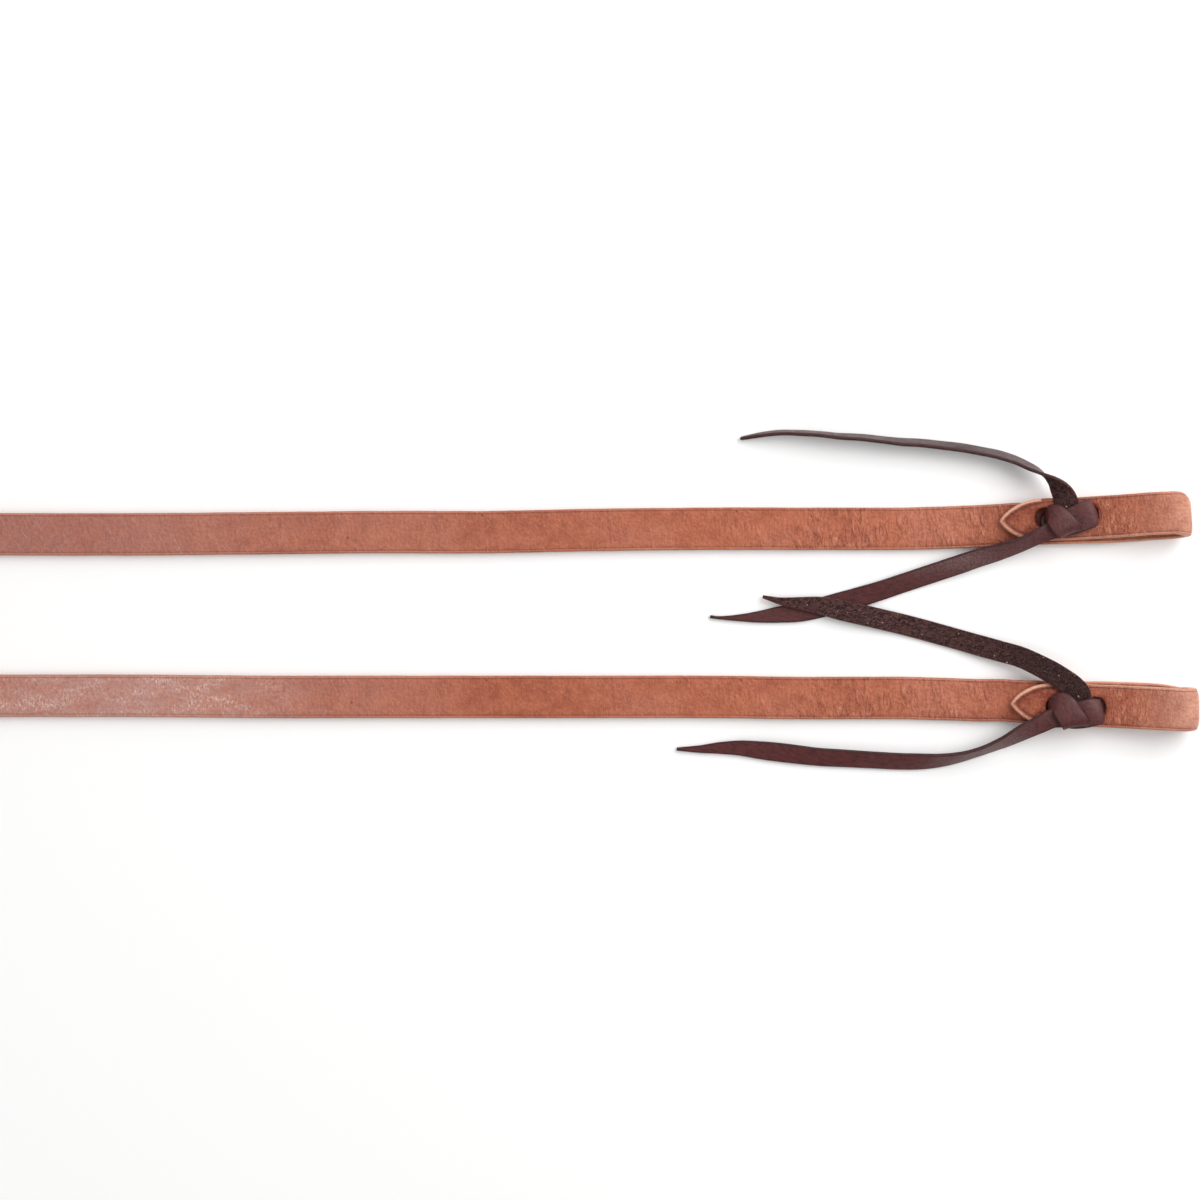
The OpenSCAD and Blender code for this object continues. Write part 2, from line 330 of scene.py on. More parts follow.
# The coil that both reins share. It is worked out as the frame's own coil is.
coil = {"radius": 0.084, "pitch": 0.008, "joinA": 50.0, "joinB": 10.0}
coil["left"] = 0.418 + strap["width"] / 2 * math.sin(math.radians(1.9))
coil["x"] = coil["radius"] - coil["pitch"] * (180.0 - coil["joinA"]) / 360.0 - coil["left"]
coil["y"] = -coil["pitch"] / 4
coil["startA"] = coil["radius"] - strap["thickness"] / 2
coil["startB"] = coil["startA"] - coil["pitch"] / 2
coil["startB"] += coil["pitch"] * (coil["joinA"] - coil["joinB"]) / 360.0

reinA = {
    "body": "rein_a",
    "name": "reinA",
    # from the point of the turn-back to the top of the bend: x, y, height of the strap's middle
    "upper": [(0.3288, 0.0392, 0.0063), (0.334, 0.0393, 0.0067), (0.342, 0.0395, 0.0071),
              (0.35, 0.0399, 0.00725), (0.36, 0.0403, 0.00725), (0.37, 0.0408, 0.0073),
              (0.38, 0.0414, 0.008), (0.388, 0.0419, 0.0094), (0.395, 0.0424, 0.0116),
              (0.4015, 0.0427, 0.0134)],
    "bendX": 0.406,
    "bendY": (0.0429, 0.0409),  # at the bend's top and at its foot
    "bendSkew": 4.0,
    "corners": (0.003, 0.001),  # how far the bend's edges draw in, on its +Y side and its -Y side
    "lower": [(0.4, 0.0405, 0.0019), (0.392, 0.0399, 0.0024), (0.384, 0.0394, 0.0032),
              (0.377, 0.039, 0.00355), (0.369, 0.0388, 0.00355), (0.35, 0.0384, 0.00355),
              (0.342, 0.0382, 0.0034)],
    # x, y, lift off the floor
    "flat": [(0.335, 0.038, 0.0014), (0.328, 0.0375, 0.0008), (0.318, 0.037, 0.0003),
             (0.305, 0.0365, 0), (0.285, 0.036, 0), (0.24, 0.036, 0), (0.2, 0.036, 0),
             (0.15, 0.0355, 0), (0.1, 0.0345, 0), (0.05, 0.0345, 0), (0, 0.034, 0), (-0.06, 0.0335, 0)],
    "line": 0.0335,
    "join": coil["joinA"],
    "start": coil["startA"],
    "loopX": 0.415,
    "seam": 0.3445,
    "holes": [(0.3494, 0.0008), (0.368, 0.0016)],
    "haze": [(-0.12, 0.34), (-0.05, 0.36), (-0.01, 0.27), (0.04, 0.18), (0.1, 0.08), (0.18, 0)],
    "dust": [(-0.12, 0.3), (-0.07, 0.2), (0, 0.06), (0.04, 0)],
    "oiled": [(-0.05, 0), (0.015, 0.12), (0.082, 0.22), (0.15, 0.14), (0.217, 0), (0.276, 0),
              (0.3, 0.02), (0.325, 0.2), (0.345, 0.55)],
    "strain": [(-0.12, 0.2), (0.1, 0.25), (0.2, 0.3), (0.235, 0.7), (0.245, 1), (0.272, 1),
               (0.285, 0.7), (0.3, 0.8), (0.325, 0.9), (0.345, 0.5)],
    "paleSide": -1.0,  # the side of the turn-back whose rim is rubbed pale
    # how strongly the turned-back end gets a pale painted sheen
    "endSheenHaze": 0.05,
    "seed": 11.0,
}

reinB = {
    "body": "rein_b",
    "name": "reinB",
    "upper": [(0.3337, -0.0424, 0.0063), (0.339, -0.0424, 0.0067), (0.346, -0.0426, 0.0071),
              (0.354, -0.0428, 0.00725), (0.363, -0.043, 0.00725), (0.373, -0.0433, 0.0073),
              (0.383, -0.0437, 0.008), (0.391, -0.0441, 0.0094), (0.399, -0.0444, 0.0116),
              (0.4055, -0.0447, 0.0134)],
    "bendX": 0.4094,
    "bendY": (-0.0449, -0.0446),
    "bendSkew": 1.0,
    "corners": (0.0012, 0.0014),
    "lower": [(0.403, -0.0434, 0.0019), (0.395, -0.0427, 0.0024), (0.387, -0.0423, 0.0032),
              (0.38, -0.0421, 0.00355), (0.372, -0.042, 0.00355), (0.354, -0.0418, 0.00355),
              (0.345, -0.0416, 0.0034)],
    "flat": [(0.338, -0.0415, 0.0014), (0.331, -0.041, 0.0008), (0.32, -0.041, 0.0003),
             (0.305, -0.0405, 0), (0.285, -0.04, 0), (0.24, -0.04, 0), (0.2, -0.0395, 0),
             (0.15, -0.0395, 0), (0.1, -0.0395, 0), (0.05, -0.0395, 0), (0, -0.0395, 0),
             (-0.06, -0.039, 0)],
    "line": -0.039,
    "join": coil["joinB"],
    "start": coil["startB"],
    "loopX": 0.418,
    "seam": 0.349,
    "holes": [(0.3536, -0.0008), (0.3722, -0.0008)],
    "haze": [(-0.12, 0.8), (-0.06, 1), (-0.01, 0.75), (0.03, 0.36), (0.07, 0.1), (0.1, 0)],
    "dust": [(-0.12, 0.06), (-0.07, 0)],
    "oiled": [(-0.02, 0), (0.015, 0.1), (0.06, 0.2), (0.105, 0.28), (0.15, 0.18), (0.195, 0.04),
              (0.262, 0.12), (0.3, 0.02), (0.325, 0.2), (0.345, 0.55)],
    "paleSide": 1.0,
    # how strongly the turned-back end gets a pale painted sheen
    "endSheenHaze": 0.4,
    "strain": [(-0.12, 0.2), (0.1, 0.25), (0.21, 0.35), (0.255, 0.8), (0.3, 0.9), (0.33, 0.5),
               (0.36, 0.3)],
    "seed": 37.0,
}


def restHeight(roll):
    return abs(math.sin(roll)) * strap["width"] / 2 + abs(math.cos(roll)) * strap["thickness"] / 2


def reinStations(rein):
    # x, y, z, roll, skew of the fold, and 1 where the strap is folded rather than rolled
    folded = [(x, y, z, 0.0, 0.0, 1.0) for x, y, z in rein["upper"]]
    top, foot = rein["bendY"]
    for n in range(7):
        turn = math.pi * n / 6
        x = rein["bendX"] + strap["bendRadius"] * math.sin(turn)
        z = strap["bendHeight"] + strap["bendRadius"] * math.cos(turn)
        folded.append((x, top + (foot - top) * n / 6, z, 0.0, rein["bendSkew"] * math.sin(turn), 1.0))
    folded += [(x, y, z, 0.0, 0.0, 1.0) for x, y, z in rein["lower"]]

    flat = [(x, y, strap["thickness"] / 2 + lift, 0.0, 0.0, 0.0) for x, y, lift in rein["flat"]]
    for n in range(11):
        u = n / 10
        roll = math.pi / 2 * u * u * (3 - 2 * u)
        x = strap["twistStart"] - strap["twistLength"] * u
        flat.append((x, rein["line"], restHeight(roll), roll, 0.0, 0.0))

    join = math.radians(rein["join"])
    bend = (rein["start"] * math.sin(join) - rein["line"] + coil["y"]) / (1 - math.sin(join))
    entry = coil["x"] + (rein["start"] + bend) * math.cos(join)
    edge = (strap["width"] / 2, math.pi / 2, 0.0, 0.0)
    if entry < strap["twistStart"] - strap["twistLength"] - 0.002:
        flat.append((entry, rein["line"], *edge))
    for n in range(1, 9):
        turn = (math.pi / 2 - join) * n / 8
        flat.append((entry - bend * math.sin(turn), rein["line"] + bend * (1 - math.cos(turn)), *edge))

    run = rein["loopX"] - flat[0][0]
    run += sum(math.dist(a[:3], b[:3]) for a, b in zip(flat, flat[1:]))
    toWind = strap["reinLength"] - run
    r, pitch = rein["start"], coil["pitch"]
    wound = (r - math.sqrt(r * r - pitch * toWind / math.pi)) * 2 * math.pi / pitch
    turns = math.ceil(wound / math.radians(12))
    for n in range(1, turns + 1):
        angle = wound * n / turns
        here = r - pitch * angle / (2 * math.pi)
        x = coil["x"] + here * math.cos(join + angle)
        y = coil["y"] + here * math.sin(join + angle)
        flat.append((x, y, *edge))
    return folded + flat


def strapGrain(row, ahead):
    # the turn-back's smooth side is outside the fold, so it ends up under the long run
    roll, skew, folded = row[3], math.radians(row[4]), row[5]
    if folded > 0.5:
        return ahead.cross(Vector((-math.sin(skew), math.cos(skew), 0.0)))
    return -rolledGrain(roll, ahead)


def archHalf(run):
    # half width of the pointed end at this distance from its point
    full = strap["width"] / 2
    if run >= strap["pointLength"]:
        return full
    return max(full * (1 - (1 - run / strap["pointLength"]) ** 2) ** 0.75, 0.0003)


archRuns = [strap["pointLength"] * n / 60 for n in range(61)]
archOutline = [(run, archHalf(run)) for run in archRuns]


def strapColumns():
    half = strap["width"] / 2
    edge = [0.0, 0.0002, 0.00055, 0.00095, 0.00125, 0.0016]
    middle = [half - strap["cell"] * n for n in range(10)]
    return mirrored(edge + middle, half)


def makeRein(rein):
    frames = framesAlong(smoothRoute(reinStations(rein), strap["routeStep"]), strapGrain)
    total = frames[-1]["run"]
    half = strap["width"] / 2
    bendRun = next(f["run"] for f in frames if f["place"].x > rein["bendX"])
    lowerFrames = [f for f in frames if f["run"] > bendRun + 0.02]
    seamRun = next(f["run"] for f in lowerFrames if f["place"].x < rein["seam"])
    cell = strap["cell"]

    def tailHalf(run):
        left = total - run
        share = min(left / strap["tailTaper"], 1.0)
        wide = strap["tailWidth"] / 2 + (half - strap["tailWidth"] / 2) * share
        return wide * math.sqrt(1 - (1 - min(left / 0.005, 1.0)) ** 2 * 0.7)

    def strapCup(row, share):
        # flat but for the bend, where both edges draw in
        drop = 0.00015 * share**2
        if row[5] > 0.5:
            bent = max(0.0, 1.0 - abs(row[0] - rein["bendX"] - 0.006) / 0.013)
            high = unit((row[2] - 0.004) / 0.006)
            drop += bent * high * rein["corners"][0 if share > 0 else 1] * abs(share) ** 5
        return drop

    def loopTrim(x, y):
        trim = archHalf(x) - abs(y)
        if x < strap["pointLength"] + 0.002:
            trim = min(math.hypot(x - u, abs(y) - w) for u, w in archOutline)
            trim = min(trim, max(half - abs(y), 0.0)) if x > strap["pointLength"] * 0.9 else trim
        return max(trim, 0.0)

    def holeGap(x, y):
        return min(max(math.hypot(x - u, y - w) - strap["holeRadius"], 0.0) for u, w in holes)

    def loopRim(x, y):
        return min(loopTrim(x, y), holeGap(x, y))

    def strapRim(x, y):
        return max(min(tailHalf(x) - abs(y), total - x), 0.0)

    def loopMarks(x, y, rim, place):
        skived = 1.0 if x < strap["pointLength"] + 0.001 else 0.0
        light = skived * unit(1.0 - (rim - 0.0009) / 0.0006)
        line = skived * math.exp(-(((rim - strap["tipLine"]) / 0.0006) ** 2))
        # painted highlight: the turned-back end round the bit ring is lightened, on its faces and cut
        # edges, towards its end
        turned = fromTable([(0.385, 0.0), (0.4, 0.35), (0.412, 1.0)], place.x)
        onTop, oilAndShadeReach = (1.0, 1.35) if x < bendRun + 0.012 else (0.25, 2.5)
        oilAndShadeByHoles = min(oilAndShadeReach - holeGap(x, y) / 0.003, rim * 600)  # oil round the holes, and painted shade in them, much stronger on the lower layer seen through the holes; kept off the rims
        rubbed = 0.0
        if y * rein["paleSide"] > 0:
            rubbed = fromTable([(0.348, 0.0), (0.362, 0.7), (0.4, 0.8)], place.x)
        rubbed *= unit(1.0 - (rim - 0.0009) / 0.0008)
        body = fromTable([(0.0, 0.9), (0.01, 1.05), (0.034, 0.85), (0.05, 0.4), (0.075, 0.3)], x)
        return {
            "light": max(light, 0.8 * turned * onTop, rubbed),
            "oiled": max((body + 0.25 * line) * (1.0 - light), oilAndShadeByHoles),
            "strain": fromTable([(0.0, 0.1), (0.04, 0.4), (0.048, 1.0), (0.062, 0.7), (0.075, 0.25)], x),
            # and a pale painted sheen on the same end
            "haze": rein["endSheenHaze"] * turned,
        }

    def strapMarks(x, y, rim, place):
        if x > seamRun + strap["evenFrom"]:
            return {"haze": 0.3 + 0.3 * noise.noise(Vector((x * 9.0, 0.0, rein["seed"]))), "strain": 0.2}
        # darker toward the strap's -Y side near the turn-back
        darkerSide = unit((-y - 0.003) / 0.0055)
        darkerSide *= fromTable([(0.28, 0.0), (0.32, 0.5)], place.x)
        marks = {key: fromTable(rein[key], place.x) for key in ("haze", "dust", "oiled", "strain")}
        marks["oiled"] += darkerSide
        return marks

    cut = {
        "thickness": strap["thickness"], "halfWidth": half, "round": 0.0009,
        "creaseOf": lambda run: fromTable([(0.012, strap["tipLine"]), (0.03, strap["edgeLine"])], run),
        "creaseDepth": 0.00024, "ripple": 0.00012, "wobble": 0.00012,
        "seed": rein["seed"], "cupOf": strapCup, "materials": strapMaterials,
    }

    # the turn-back and its bit loop
    rows = round(seamRun / cell)
    runs = [n * cell for n in range(rows)] + [seamRun]
    holes = []
    for source in (frames, lowerFrames):
        for holeX, holeAcross in rein["holes"]:
            holeX += 0.0 if source is frames else strap["holeShift"]
            far = [f["run"] for f in source if abs(f["place"].x - holeX) < 0.0009][0]
            holes.append((round(far / cell) * cell, round(holeAcross / cell) * cell))
    bm = cutBlank(runs, strapColumns())
    for holeRun, holeAcross in holes:
        punchHole(bm, holeRun, holeAcross, strap["holeRadius"], cell)
    for v in bm.verts:
        v.co.y *= archHalf(v.co.x) / half
    loopCut = {**cut, "rimOf": loopRim, "trimOf": loopTrim}
    loop = makeLeather(rein["name"] + "BitLoop", bm, frames, loopCut, loopMarks)

    # the long strap
    rows = math.ceil((total - seamRun) / strap["step"])
    runs = [seamRun + (total - seamRun) * n / rows for n in range(rows + 1)]
    bm = cutBlank(runs, strapColumns())
    for v in bm.verts:
        v.co.y *= tailHalf(v.co.x) / half
    strapCut = {**cut, "rimOf": strapRim, "trimOf": strapRim}
    long = makeLeather(rein["name"] + "Strap", bm, frames, strapCut, strapMarks)

    for piece in (loop, long):
        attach(piece, rein["body"])
    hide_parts(rein["body"] + "_bit_loop")
    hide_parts(rein["body"] + "_strap", rein["body"] + "_coil")
    route = pathOf(frames, seamRun, total, 0.006)
    print(rein["name"], "laid:", round(total - seamRun, 3), "m of strap")


lace = {
    "thickness": 0.0016,
    "halfWidth": 0.00475,
    "columns": (0.0, 0.0002, 0.0005, 0.0009, 0.0016, 0.0026, 0.0036),  # in from the rim
    "step": 0.0007,  # length of its cells
    "tailStep": 0.0005,  # of its route
    "knotStep": 0.0003,
    "tipLeft": 0.004,  # the measured route stops this far from the tip
}


def laceColumns():
    return mirrored([*lace["columns"], lace["halfWidth"]], lace["halfWidth"])


def makeLace(name, body, node, frames, seed, tip, greyWearAndSheenAt, dyedAt):
    # tip: the far end tapers to nothing, so its rim is rounded too
    # the two tables give how grey and how dark it is at each x; the grey is wear, and on lace A's upper
    # tail a painted sheen
    total = frames[-1]["run"]
    half = lace["halfWidth"]
    rows = math.ceil(total / lace["step"])
    runs = [total * n / rows for n in range(rows + 1)]
    widths = [frameAt(frames, run)[3][-1] / 2 for run in runs]
    table = list(zip(runs, widths))

    def laceHalf(run):
        i = min(int(run / total * rows), rows - 1)
        return fromTable(table[i:i + 2], run)

    def laceRim(x, y):
        rim = laceHalf(x) - abs(y)
        return max(min(rim, total - x) if tip else rim, 0.0)

    def laceWear(x, y, rim, place):
        # grey wear; on lace A's upper tail the grey is a painted sheen
        greyWearAndSheen = fromTable(greyWearAndSheenAt, place.x)
        greyWearAndSheen *= 0.9 + 1.6 * noise.noise(Vector((x * 42.0, y * 70.0, seed + 9.0)))
        return {
            "haze": unit(greyWearAndSheen),
            "oiled": fromTable(dyedAt, place.x),
            "strain": fromTable([(0.0, 0.9), (0.03, 0.5), (0.06, 0.3)], x),
        }

    bm = cutBlank(runs, laceColumns())
    for v in bm.verts:
        v.co.y *= laceHalf(v.co.x) / half
    cut = {
        "thickness": lace["thickness"], "halfWidth": half, "round": 0.0006,
        "creaseOf": lambda run: 0.0008, "creaseDepth": 0.0, "ripple": 0.00014, "wobble": 0.0001,
        "seed": seed, "cupOf": lambda row, share: row[-2] * share**2, "rimOf": laceRim, "trimOf": laceRim,
        "materials": laceMaterials,
    }
    piece = makeLeather(name, bm, frames, cut, laceWear)
    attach(piece, body)
    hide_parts(node)
    return piece


def makeTail(name, body, node, stations, seed, greyWearAndSheenAt, dyedAt):
    turned = [(*place, math.radians(roll), cup, width) for *place, roll, cup, width in stations]
    rows = smoothRoute(turned, lace["tailStep"])
    frames = framesAlong(rows, lambda row, ahead: rolledGrain(row[3], ahead))
    piece = makeLace(name, body, node, frames, seed, True, greyWearAndSheenAt, dyedAt)
    total = frames[-1]["run"]
    route = pathOf(frames, 0.0, total - lace["tipLeft"], 0.003)
    print(name, "laid:", round(total, 3), "m")


def makeKnot(name, body, node, stations, seed):
    frames = framesAlong(smoothRoute(stations, lace["knotStep"]), lambda row, ahead: Vector(row[3:6]))
    makeLace(name, body, node, frames, seed, False, [(0.35, 0.1)], [(0.35, 0.15)])
    print(name, "tied")


# Tails, from the knot to the tip: x, y, z, roll, cup, width
upperTailA = [
    (0.3585, 0.043, 0.01, 180, 0, 0.0105), (0.3583, 0.0458, 0.0101, 178, 0, 0.0104),
    (0.3577, 0.0483, 0.0104, 172, 0, 0.0101), (0.3564, 0.0509, 0.0108, 159, 0, 0.0097),
    (0.3544, 0.0537, 0.011, 136, 0, 0.0094), (0.3521, 0.0562, 0.0106, 112, 0, 0.0092),
    (0.35, 0.0581, 0.0098, 94, 0, 0.0092), (0.3475, 0.0601, 0.0088, 79, 0, 0.0093),
    (0.3447, 0.0621, 0.0077, 70, 0, 0.0095), (0.341, 0.0642, 0.0066, 67, 0.0001, 0.0095),
    (0.3355, 0.0669, 0.0054, 67, 0.0001, 0.0095), (0.3285, 0.0692, 0.0049, 67, 0.0002, 0.0095),
    (0.32, 0.071, 0.0048, 68, 0.0002, 0.0095), (0.3115, 0.0725, 0.0048, 68, 0.0002, 0.0095),
    (0.3025, 0.0735, 0.0048, 69, 0.0002, 0.0095), (0.2935, 0.0745, 0.0048, 70, 0.0002, 0.0095),
    (0.2845, 0.075, 0.0048, 71, 0.0002, 0.0095), (0.2755, 0.076, 0.0048, 73, 0.0002, 0.0095),
    (0.2665, 0.077, 0.0048, 74, 0.0002, 0.0094), (0.2575, 0.0775, 0.0047, 75, 0.0002, 0.009),
    (0.2485, 0.0785, 0.0045, 76, 0.0002, 0.0085), (0.2395, 0.079, 0.0042, 75, 0.0002, 0.0076),
    (0.2305, 0.079, 0.0036, 75, 0.0001, 0.0063), (0.2215, 0.078, 0.0026, 72, 0, 0.0042),
    (0.213, 0.0765, 0.0014, 68, 0, 0.0014),
]
lowerTailA = [
    (0.355, 0.0368, 0.0118, 0, 0, 0.0098), (0.352, 0.0355, 0.0118, -6, 0, 0.0084),
    (0.349, 0.034, 0.0117, -16, 0, 0.0076), (0.344, 0.0317, 0.0112, -36, 0, 0.0079),
    (0.3375, 0.0287, 0.0098, -44, 0, 0.0087), (0.3285, 0.0255, 0.008, -36, 0.0001, 0.009),
    (0.32, 0.023, 0.0062, -26, 0.0002, 0.009), (0.3115, 0.02, 0.0044, -20, 0.0002, 0.009),
    (0.3025, 0.017, 0.0031, -20, 0.0002, 0.009), (0.2935, 0.014, 0.0025, -20, 0.0002, 0.009),
    (0.2845, 0.011, 0.0023, -20, 0.0002, 0.009), (0.2755, 0.008, 0.002, -16, 0.0002, 0.009),
    (0.267, 0.0055, 0.0015, -9, 0.0001, 0.009), (0.258, 0.003, 0.001, -3, 0, 0.009),
    (0.249, 0.0005, 0.0009, 0, 0, 0.009), (0.24, -0.0015, 0.0009, 0, 0, 0.0086),
    (0.231, -0.0025, 0.0009, 0, 0, 0.0074), (0.222, -0.0035, 0.0009, 0, 0, 0.0054),
    (0.213, -0.004, 0.0009, 0, 0, 0.0032), (0.204, -0.004, 0.0009, 0, 0, 0.0015),
    (0.1995, -0.0035, 0.0009, 0, 0, 0.0014),
]
upperTailB = [
    (0.3632, -0.0415, 0.01, 180, 0, 0.0105), (0.3635, -0.038, 0.0102, 180, 0, 0.0105),
    (0.3605, -0.0345, 0.0104, 180, 0, 0.0104), (0.3565, -0.0315, 0.0103, 180, 0, 0.0102),
    (0.351, -0.028, 0.0096, 180, 0, 0.01), (0.3465, -0.0255, 0.0084, 180, 0, 0.0097),
    (0.338, -0.0215, 0.0058, 180, 0, 0.0095), (0.3295, -0.019, 0.0034, 180, 0, 0.0094),
    (0.3205, -0.0165, 0.0022, 180, 0, 0.0094), (0.312, -0.014, 0.0014, 180, 0, 0.0093),
    (0.303, -0.0115, 0.0011, 180, 0, 0.0093), (0.294, -0.009, 0.001, 180, 0, 0.0093),
    (0.285, -0.0067, 0.0012, 180, 0, 0.0093), (0.276, -0.0046, 0.002, 180, 0, 0.0093),
    (0.267, -0.0025, 0.0028, 180, 0, 0.0093), (0.258, -0.0005, 0.0031, 180, 0, 0.0092),
    (0.249, 0.0015, 0.0031, 180, 0, 0.008), (0.24, 0.0025, 0.003, 180, 0, 0.0058),
    (0.231, 0.0035, 0.0028, 180, 0, 0.0034), (0.223, 0.0055, 0.0024, 180, 0, 0.0014),
]
lowerTailB = [
    (0.357, -0.048, 0.0118, 0, 0, 0.0098), (0.354, -0.0482, 0.0118, -1, 0, 0.0092),
    (0.351, -0.0488, 0.0117, -4, 0, 0.0086), (0.3465, -0.0512, 0.011, -15, 0, 0.0082),
    (0.339, -0.0548, 0.0096, -33, 0, 0.0086), (0.3325, -0.0585, 0.0078, -50, 0, 0.009),
    (0.3285, -0.0605, 0.0068, -58, 0.0001, 0.0091), (0.32, -0.064, 0.0054, -65, 0.0002, 0.0091),
    (0.3115, -0.0665, 0.0048, -61, 0.0002, 0.0091), (0.3025, -0.068, 0.0044, -51, 0.0002, 0.0091),
    (0.2935, -0.0685, 0.0038, -40, 0.0002, 0.0091), (0.2845, -0.0685, 0.0035, -37, 0.0002, 0.0091),
    (0.2755, -0.068, 0.0035, -36, 0.0002, 0.0091), (0.2665, -0.0675, 0.0034, -34, 0.0002, 0.0091),
    (0.2575, -0.067, 0.0032, -31, 0.0002, 0.0091), (0.2485, -0.0665, 0.003, -28, 0.0002, 0.0091),
    (0.2395, -0.0655, 0.0028, -24, 0.0002, 0.0091), (0.231, -0.0645, 0.0025, -20, 0.0002, 0.009),
    (0.222, -0.0635, 0.0022, -18, 0.0002, 0.0084), (0.213, -0.0625, 0.0018, -15, 0.0001, 0.007),
    (0.204, -0.0625, 0.0014, -12, 0, 0.0054), (0.195, -0.063, 0.0011, -8, 0, 0.0034),
    (0.1845, -0.063, 0.0009, 0, 0, 0.0014),
]

# Knots, from under the tying strand, round it, down the first hole, along under the strap, up the
# second hole and back under the wrap: x, y, z, grain direction, cup, width
knotA = [
    (0.3588, 0.0432, 0.01, 0, 0, -1, 0, 0.0105), (0.3593, 0.0395, 0.01, 0, 0, -1, 0, 0.0104),
    (0.3595, 0.0368, 0.0101, 0, -0.1, -1, 0, 0.0104),
    (0.3594, 0.035, 0.0108, 0.25, -0.72, -0.65, 0, 0.0108),
    (0.359, 0.0342, 0.0124, 0.36, -0.93, 0, 0, 0.0112),
    (0.3582, 0.0348, 0.0141, 0.26, -0.55, 0.78, 0, 0.0113),
    (0.3567, 0.0364, 0.015, 0, 0, 1, 0.0002, 0.0114),
    (0.3547, 0.0386, 0.0151, 0, 0, 1, 0.0003, 0.0113),
    (0.3529, 0.0408, 0.0146, -0.15, 0.15, 0.98, 0.0004, 0.0108),
    (0.3512, 0.0422, 0.0132, -0.55, 0.4, 0.75, 0.0004, 0.0098),
    (0.35, 0.0424, 0.0108, -0.95, 0.2, 0.25, 0.0006, 0.0086),
    (0.3496, 0.0417, 0.0082, -1, 0.05, 0, 0.0008, 0.0077),
    (0.3496, 0.041, 0.0055, -1, 0, 0, 0.001, 0.0074),
    (0.3502, 0.0408, 0.0023, -0.85, 0, -0.5, 0.0006, 0.0072),
    (0.352, 0.0408, 0.0009, -0.1, 0, -1, 0, 0.0076), (0.36, 0.0413, 0.0009, 0, 0, -1, 0, 0.008),
    (0.3682, 0.042, 0.0009, 0.1, 0, -1, 0, 0.0076),
    (0.37, 0.0421, 0.0023, 0.85, 0, -0.5, 0.0006, 0.007),
    (0.3702, 0.0422, 0.0055, 1, 0, 0, 0.0008, 0.0072),
    (0.3704, 0.0425, 0.0088, 1, 0.1, -0.1, 0.0008, 0.0092),
    (0.3706, 0.0428, 0.0112, 0.85, 0.3, 0.4, 0.0008, 0.0114),
    (0.369, 0.0427, 0.0131, 0.3, 0.15, 0.95, 0.0007, 0.0128),
    (0.3655, 0.0415, 0.0132, -0.05, 0, 1, 0.0005, 0.013),
    (0.362, 0.04, 0.0124, -0.1, 0, 1, 0.0002, 0.0126), (0.3585, 0.0384, 0.0118, 0, 0, 1, 0, 0.0116),
    (0.3548, 0.0368, 0.0118, 0, 0, 1, 0, 0.0098),
]
knotB = [
    (0.3632, -0.0413, 0.01, 0, 0, -1, 0, 0.0105), (0.3631, -0.045, 0.01, 0, 0, -1, 0, 0.0104),
    (0.3627, -0.0488, 0.0101, 0, -0.1, -1, 0, 0.0104),
    (0.3623, -0.0509, 0.0108, 0.05, -0.75, -0.65, 0, 0.0108),
    (0.3618, -0.0517, 0.0124, 0.08, -1, 0, 0, 0.0114),
    (0.3611, -0.0511, 0.0141, 0.05, -0.6, 0.78, 0, 0.0117),
    (0.3597, -0.049, 0.015, 0, 0, 1, 0.0002, 0.0118),
    (0.3578, -0.0461, 0.0151, 0, 0, 1, 0.0003, 0.0117),
    (0.3559, -0.0434, 0.0147, -0.15, 0.15, 0.98, 0.0004, 0.0116),
    (0.3539, -0.042, 0.0136, -0.5, 0.35, 0.79, 0.0004, 0.0111),
    (0.3521, -0.0419, 0.0113, -0.92, 0.28, 0.28, 0.0006, 0.0098),
    (0.351, -0.0425, 0.0085, -1, 0.05, 0, 0.001, 0.008),
    (0.3507, -0.0432, 0.0055, -1, 0, 0, 0.0014, 0.0072),
    (0.3514, -0.0433, 0.0023, -0.85, 0, -0.5, 0.0008, 0.007),
    (0.354, -0.0434, 0.0009, -0.1, 0, -1, 0, 0.0076), (0.363, -0.0438, 0.0009, 0, 0, -1, 0, 0.008),
    (0.3712, -0.0441, 0.0009, 0.1, 0, -1, 0, 0.0076),
    (0.3724, -0.0441, 0.0023, 0.85, 0, -0.5, 0.0005, 0.007),
    (0.3727, -0.0441, 0.0055, 1, 0, 0, 0.0006, 0.0072),
    (0.373, -0.0444, 0.009, 1, 0.05, 0, 0.0006, 0.0088),
    (0.3731, -0.0449, 0.0114, 0.8, 0.25, 0.5, 0.0007, 0.011),
    (0.3711, -0.0455, 0.0131, 0.2, 0.1, 0.97, 0.0007, 0.0122),
    (0.3672, -0.0464, 0.0132, 0, 0, 1, 0.0005, 0.0126),
    (0.3634, -0.0472, 0.0124, -0.1, 0, 1, 0.0002, 0.0122), (0.36, -0.0477, 0.0118, 0, 0, 1, 0, 0.0114),
    (0.3568, -0.048, 0.0118, 0, 0, 1, 0, 0.0098),
]


def setInputs(tree, node, inputs):
    # inputs: a value or an output socket for each input
    for key, value in inputs.items():
        socket = node.inputs[key]
        if isinstance(value, bpy.types.NodeSocket):
            tree.links.new(value, socket)
        else:
            socket.default_value = value


def addNode(tree, kind, inputs=None, **settings):
    node = tree.nodes.new("ShaderNode" + kind)
    for key, value in settings.items():
        setattr(node, key, value)
    setInputs(tree, node, inputs or {})
    return node


def calc(tree, operation, a, b=0.0, clamp=False):
    return addNode(tree, "Math", {0: a, 1: b}, operation=operation, use_clamp=clamp).outputs[0]


def times(tree, a, b, clamp=False):
    return calc(tree, "MULTIPLY", a, b, clamp)


